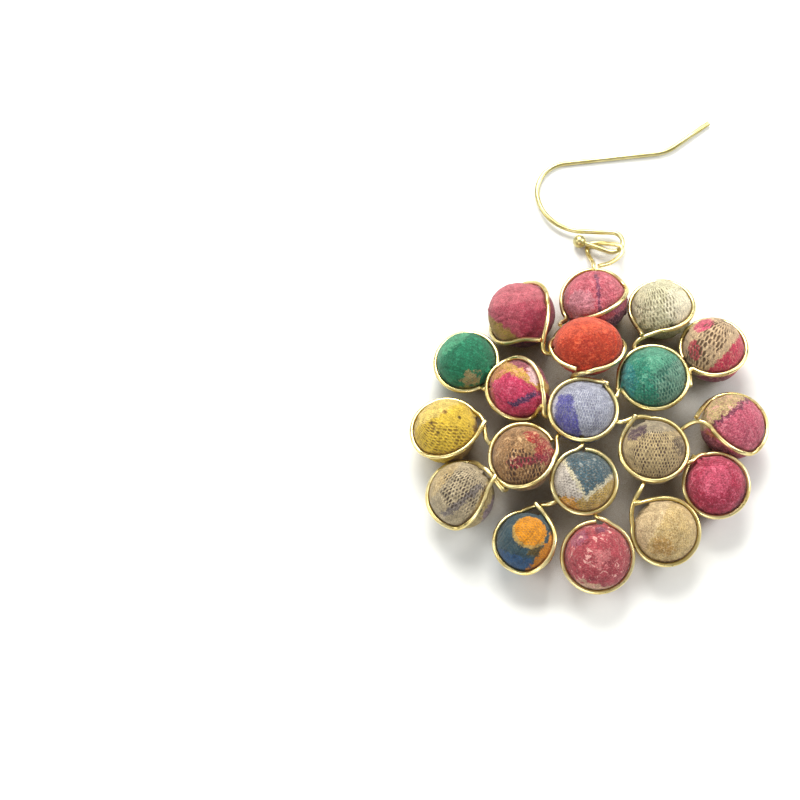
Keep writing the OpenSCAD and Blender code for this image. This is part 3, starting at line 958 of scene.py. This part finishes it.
# %% The yarn
# Two ends are the range of a noise over which something comes in, and the rest are shares and lights
PALE_FLECK_ENDS = (0.5, 0.66)
PALE_FLECKS = 0.6
DARK_FLECK_ENDS = (0.5, 0.34)
DARK_FLECKS = 0.75
MIDDLE_ENDS = (0.3, 0.7)
AGE_LIGHT = (0.59, 0.87)
GRAIN_LIGHT = (0.7, 1.3)
BARE_ENDS = (0.57, 0.65)
CRACK_ENDS = (0.36, 0.30)
CRACK_WIDENS = 0.05
STREAKS = 0.7


def worn_yarn(finish, place, flecks, colour, cloth):
    """Flecks, slow changes from worn to fresh, a fine grain, and frayed streaks with cracks."""
    pale = linear(cloth["pale"])
    dark = linear(cloth["dark"])
    pale_share = finish.ramp(flecks, *PALE_FLECK_ENDS, 0.0, PALE_FLECKS * cloth["speckle"])
    colour = finish.blend(pale_share, colour, pale)
    shade = finish.blend(0.5, dark, (0.5, 0.5, 0.5, 1))
    dark_share = finish.ramp(flecks, *DARK_FLECK_ENDS, 0.0, DARK_FLECKS * cloth["speckle"])
    colour = finish.blend(dark_share, colour, shade, "MULTIPLY")
    for noise, light in (("age", AGE_LIGHT), ("grain", GRAIN_LIGHT)):
        level = finish.ramp(finish.noise(place, **NOISES[noise]), *MIDDLE_ENDS, *light)
        colour = finish.blend(1.0, colour, finish.grey(level), "MULTIPLY")
    streak = finish.noise(place, **NOISES["streaks"])
    frayed = cloth["frayed"]
    colour = finish.blend(finish.ramp(streak, *BARE_ENDS, 0.0, STREAKS * frayed), colour, pale)
    crack_ends = [end + CRACK_WIDENS * frayed for end in CRACK_ENDS]
    return finish.blend(finish.ramp(streak, *crack_ends, 0.0, STREAKS * frayed), colour, dark)


# %% The weave
# How far the rows wander, in meshes
DRIFT = (1.3, 1.3, 0)
# How much narrower than its mesh a hole is, across and along
HOLE_SHAPE = (3.3, 2.2, 0)
WEAR_ENDS = (0.3, 0.6)
WEAR_OPENS = (0.55, 1.0)
LOOSE_RAGGED = 0.9
TIGHT_OPENS = 0.2
WIDEST_FROM = 0.6
HOLE_SMALL = 0.65
HOLE_LARGE = 1.15
HOLE_EDGE = (-0.3, 0.15)
THREAD_HIGHLIGHT_ENDS = (0.28, 0.5)


def meshes(finish, place, name):
    """The holes of the weave and the painted highlight on the threads beside them, each from 0 to 1."""
    weave = finish.lay("ShaderNodeUVMap", {"uv_map": "weave"}, {}).outputs[0]
    drift = finish.vector("SUBTRACT", finish.noise(place, **NOISES["drift"]), (0.5, 0.5, 0.5))
    drift = finish.vector("MULTIPLY", drift, DRIFT)
    parts = finish.lay("ShaderNodeSeparateXYZ", {}, {0: finish.vector("ADD", weave, drift)})
    row = finish.number("FLOOR", parts.outputs[1])
    every_other = finish.number("FRACT", finish.times(row, 0.5))
    across_row = finish.number("ADD", parts.outputs[0], every_other)
    cell = finish.lay("ShaderNodeCombineXYZ", {}, {0: finish.number("FLOOR", across_row), 1: row}).outputs[0]
    chance = finish.lay("ShaderNodeTexWhiteNoise", {"noise_dimensions": "2D"}, {"Vector": cell}).outputs[0]
    beside = finish.number("SUBTRACT", finish.number("FRACT", across_row), 0.5)
    above = finish.number("SUBTRACT", finish.number("FRACT", parts.outputs[1]), 0.5)
    reach = finish.lay("ShaderNodeCombineXYZ", {}, {0: beside, 1: above}).outputs[0]
    reach = finish.vector("LENGTH", finish.vector("MULTIPLY", reach, HOLE_SHAPE), None, 1)
    worn = finish.ramp(finish.noise(place, **NOISES["wear"]), *WEAR_ENDS, *WEAR_OPENS)
    if name in LOOSE:
        ragged = finish.number("SUBTRACT", finish.noise(place, **NOISES["loose_edge"]), 0.5)
        ragged = finish.times(ragged, LOOSE_RAGGED)
        loose = inside(finish, place, ragged, [LOOSE[name]])
        worn = finish.times(worn, finish.ramp(loose, 0, 1, TIGHT_OPENS, 1))
    gape = CLOTHS[name]["gape"]
    size = finish.ramp(chance, 0.0, WIDEST_FROM, HOLE_SMALL * gape, HOLE_LARGE * gape)
    size = finish.times(size, worn)
    hole = finish.ramp(finish.number("SUBTRACT", reach, size), *HOLE_EDGE, 1.0, 0.0)
    # painted highlight on the threads, strongest halfway between two holes
    thread_highlight = finish.ramp(finish.number("ABSOLUTE", beside), *THREAD_HIGHLIGHT_ENDS)
    return finish.times(hole, worn), thread_highlight


# %% The painted shade beside the wires
WIRE_SHADE_COLOUR = "#8A6A4A"
WIRE_SHADE_RAGGED = 0.6
WIRE_SHADE_FULL = 0.05
WIRE_SHADE_NONE = 0.5
WIRE_SHADE_SHARE = 0.72


def painted_wire_shade(finish, rough_edge, colour):
    """Painted shade: the cloth's colour darkened under and beside each wire."""
    edge = finish.lay("ShaderNodeUVMap", {"uv_map": "edge"}, {}).outputs[0]
    from_wire = finish.lay("ShaderNodeSeparateXYZ", {}, {0: edge}).outputs[0]
    from_wire = finish.number("ADD", from_wire, finish.times(rough_edge, WIRE_SHADE_RAGGED))
    wire_shade = finish.ramp(from_wire, WIRE_SHADE_FULL, WIRE_SHADE_NONE, WIRE_SHADE_SHARE, 0.0)
    # painted shade: the colour turns darker brown close to each wire
    return finish.blend(wire_shade, colour, linear(WIRE_SHADE_COLOUR), "MULTIPLY")


# %% The whole cloth finish
THREAD_PAINTED_HIGHLIGHT = (1.35, 1.33, 1.25, 1)
HOLE_HEIGHT = -0.9
FLECK_HEIGHT = 1.1
RELIEF_STRENGTH = 0.8
RELIEF_DEPTH = 0.12


def cloth_finish(name, middle, half):
    finish = Finish(f"cloth_{name}")
    cloth = CLOTHS[name]
    inputs = {"Location": tuple(-middle / half), "Scale": tuple(1 / (half * MM))}
    mapping = finish.lay("ShaderNodeMapping", {}, {"Vector": finish.object_place(), **inputs})
    place = mapping.outputs[0]
    rough_edge = finish.number("SUBTRACT", finish.noise(place, **NOISES["print_edge"]), 0.5)
    flecks = finish.noise(place, **NOISES["flecks"])
    colour = prints_and_painted_shade(finish, place, rough_edge, name)
    colour = worn_yarn(finish, place, flecks, colour, cloth)
    hole, thread_highlight = meshes(finish, place, name)
    # painted highlight: the threads between the holes are brightened
    colour = finish.blend(finish.times(thread_highlight, cloth["open"]), colour, THREAD_PAINTED_HIGHLIGHT, "MULTIPLY")
    colour = finish.blend(finish.times(hole, cloth["open"]), colour, linear(cloth["dark"]))
    # painted shade beside the wires
    colour = painted_wire_shade(finish, rough_edge, colour)
    height = finish.times(hole, HOLE_HEIGHT * cloth["open"])
    height = finish.number("ADD", height, finish.times(flecks, FLECK_HEIGHT))
    normal = finish.bump(height, RELIEF_STRENGTH, RELIEF_DEPTH)
    finish.set(base_color=colour, roughness=0.92, normal=normal, sheen_weight=0.12, sheen_roughness=0.5)
    return finish.material


# %% The wires that lie on each bead
POINT_STEP = 0.08
# How far from a bead's middle its wires can lie, in radii
NEAR_RADII = 1.4


def close_points(route):
    """The points of a route, so close together that the cloth can be pressed in under it."""
    dense = []
    for a, b in zip(route[:-1], route[1:]):
        count = max(1, math.ceil(np.linalg.norm(b - a) / POINT_STEP))
        dense += [a + (b - a) * i / count for i in range(count)]
    return dense


all_points = []
for route in list(routes.values()) + [eye_line + eye_turns[1:]]:
    all_points += close_points(route)
all_points = np.array(all_points) - MIDDLE
wire_points = {}
for name in BEADS:
    radii = np.linalg.norm((all_points - (centre(name) - MIDDLE)) / half_size(name), axis=1)
    near = radii < NEAR_RADII
    tree = KDTree(int(near.sum()))
    for i, point in enumerate(all_points[near]):
        tree.insert(Vector(point), i)
    tree.balance()
    wire_points[name] = tree
print("points on the wires:", len(all_points))

# %% Winding a ball
# Where strips run and how wide they are, in radii from the bead's middle
STRIP_COUNT = 4
STRIP_LEAN = 0.55
STRIP_OFF = 0.55
STRIP_HALF = (0.28, 0.5)
STRIP_EDGE = (-0.035, 0.02)
SEAM_HALF = 0.028
SEAM_WAVE = 0.03
SEAM_WAVES = 7
# Heights and depths in millimetres
STRIP_LIFT = 0.085
SEAM_DEPTH = 0.06
LUMP_HEIGHT = 0.03
PIT_DEPTH = 0.2
PUCKER_HEIGHT = 0.06
PROUD = 0.16
# Lumps over the whole ball, and the pit and puckers at its two poles
LUMP_COUNT = 5
LUMP_WAVES = (2.5, 5.5)
LUMP_START = 6
PIT_REACH = 0.012
PUCKER_REACH = 0.07
PUCKER_COUNT = 9
PUCKER_SWAYS = 3
PUCKER_SWAY = 2


def soft_step(value, low, high):
    share = np.clip((value - low) / (high - low), 0, 1)
    return share * share * (3 - 2 * share)


def round_pole(out, pole):
    """The angle of each point round the winding's axis."""
    level = unit(np.cross(pole, UP))
    return np.arctan2(out @ np.cross(pole, level), out @ level)


def winding(name, out, pole):
    """How far each point of a ball lies above or below the plain egg, in millimetres."""
    chance = random.Random(f"wound {name}")
    height = np.zeros(len(out))
    for i in range(STRIP_COUNT):
        lean = np.array([chance.uniform(-1, 1) for _ in range(3)])
        across_strip = unit(pole + STRIP_LEAN * lean)
        middle = chance.uniform(-STRIP_OFF, STRIP_OFF)
        half_width = chance.uniform(*STRIP_HALF)
        off = out @ across_strip - middle
        wave = SEAM_WAVE * np.sin(SEAM_WAVES * (out @ unit(np.cross(across_strip, lean))) + i)
        edge = np.abs(off + wave) - half_width
        height += STRIP_LIFT * (1 - soft_step(edge, *STRIP_EDGE))
        height -= SEAM_DEPTH * np.exp(-(edge / SEAM_HALF) ** 2)
    for i in range(LUMP_COUNT):
        towards = unit(np.array([chance.uniform(-1, 1) for _ in range(3)]))
        waves = chance.uniform(*LUMP_WAVES)
        height += LUMP_HEIGHT * np.sin(waves * (out @ towards) + chance.uniform(0, LUMP_START))
    from_pole = 1 - np.abs(out @ pole)
    height -= PIT_DEPTH * np.exp(-from_pole / PIT_REACH)
    angle = round_pole(out, pole)
    puckers = np.sin(PUCKER_COUNT * angle + PUCKER_SWAY * np.sin(PUCKER_SWAYS * angle))
    height += PUCKER_HEIGHT * puckers * np.exp(-from_pole / PUCKER_REACH)
    return np.minimum(height, PROUD)


# %% Fitting the cloth to the wires
WIRE_ROOM = 0.02
# How near a wire has to be to be felt, to press, and to leave a hollow beside it
FELT_WITHIN = 1.3
PRESSED_WITHIN = 1.0
HOLLOW_WITHIN = 0.8
HOLLOW_DEPTH = 0.05
HOLLOW_WIDTH = 0.16
# How far the cloth is drawn up to a wire over it, and how that fades to the sides
DRAWN_UP = 0.35
DRAWN_FADE = (0.3, 0.65)
FAR_FROM_WIRES = 1.0


def fit_to_wires(surface, normals, name):
    """Fits the cloth to every wire, and gives back how far each point is from a wire's skin."""
    tree = wire_points[name]
    touch = LOOP_WIRE / 2 + WIRE_ROOM
    from_wire = np.full(len(surface), FAR_FROM_WIRES)
    for i in range(len(surface)):
        point, _, distance = tree.find(surface[i])
        if distance is None or distance > FELT_WITHIN:
            continue
        from_wire[i] = max(distance - LOOP_WIRE / 2, 0)
        normal = normals[i]
        off = surface[i] - np.array(point)
        above = off @ normal
        beside = np.linalg.norm(off - above * normal)
        if beside < touch:
            lowest = -math.sqrt(touch * touch - beside * beside)
            if lowest < above < PRESSED_WITHIN:
                surface[i] -= (above - lowest) * normal
        elif distance < HOLLOW_WITHIN:
            surface[i] -= HOLLOW_DEPTH * math.exp(-((beside - touch) / HOLLOW_WIDTH) ** 2) * normal
        below_wire = -touch - above
        if 0 < below_wire < DRAWN_UP:
            surface[i] += below_wire * (1 - soft_step(beside, *DRAWN_FADE)) * normal
    return from_wire


# %% The maps on a ball


def weave_map(mesh, out, pole, radius, cloth, from_wire):
    """Counts the meshes round the winding and along it as a UV map, with a second one for the wires."""
    turn = round_pole(out, pole) / (2 * math.pi)
    rise = np.arcsin(np.clip(out @ pole, -1, 1))
    pitch = cloth["pitch"]
    round_count = round(2 * math.pi * radius / pitch)
    corners = np.zeros(len(mesh.loops), int)
    mesh.loops.foreach_get("vertex_index", corners)
    faces = corners.reshape(-1, 4)
    turns = turn[faces]
    turns -= np.round(turns - turns[:, :1])
    weave = mesh.uv_layers.new(name="weave")
    values = np.stack([turns * round_count, rise[faces] * radius / (pitch * cloth["tall"])], axis=-1)
    weave.uv.foreach_set("vector", values.reshape(-1).astype(np.float32))
    edge = mesh.uv_layers.new(name="edge")
    values = np.stack([from_wire[faces], np.zeros(faces.shape)], axis=-1)
    edge.uv.foreach_set("vector", values.reshape(-1).astype(np.float32))


# %% One whole bead
OFF_THE_TABLE = 0.015


def wind_bead(name):
    cloth = CLOTHS[name]
    half = half_size(name)
    middle = centre(name) - MIDDLE
    pole = seen(*cloth["poles"])
    mesh = plain_ball.data.copy()
    bead = bpy.data.objects.new(f"wound_{name}", mesh)
    bpy.context.collection.objects.link(bead)
    out = np.zeros(len(mesh.vertices) * 3)
    mesh.vertices.foreach_get("co", out)
    out = out.reshape(-1, 3)
    out = out / np.linalg.norm(out, axis=1, keepdims=True)
    surface = out * half
    normals = out / half
    normals = normals / np.linalg.norm(normals, axis=1, keepdims=True)
    surface = surface + normals * winding(name, out, pole)[:, None] + middle
    from_wire = fit_to_wires(surface, normals, name)
    surface[:, 2] = np.maximum(surface[:, 2], OFF_THE_TABLE)
    mesh.vertices.foreach_set("co", (surface * MM).reshape(-1))
    weave_map(mesh, out, pole, half[0], cloth, from_wire)
    mesh.materials.append(cloth_finish(name, middle, half))
    mesh.polygons.foreach_set("use_smooth", [True] * len(mesh.polygons))
    mesh.update()
    return bead


# %% The nineteen beads
for name in BEADS:
    bead = wind_bead(name)
    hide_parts(f"bead_{name}")
    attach(bead, "root")
bpy.data.objects.remove(plain_ball)
print("beads wound:", len(BEADS))
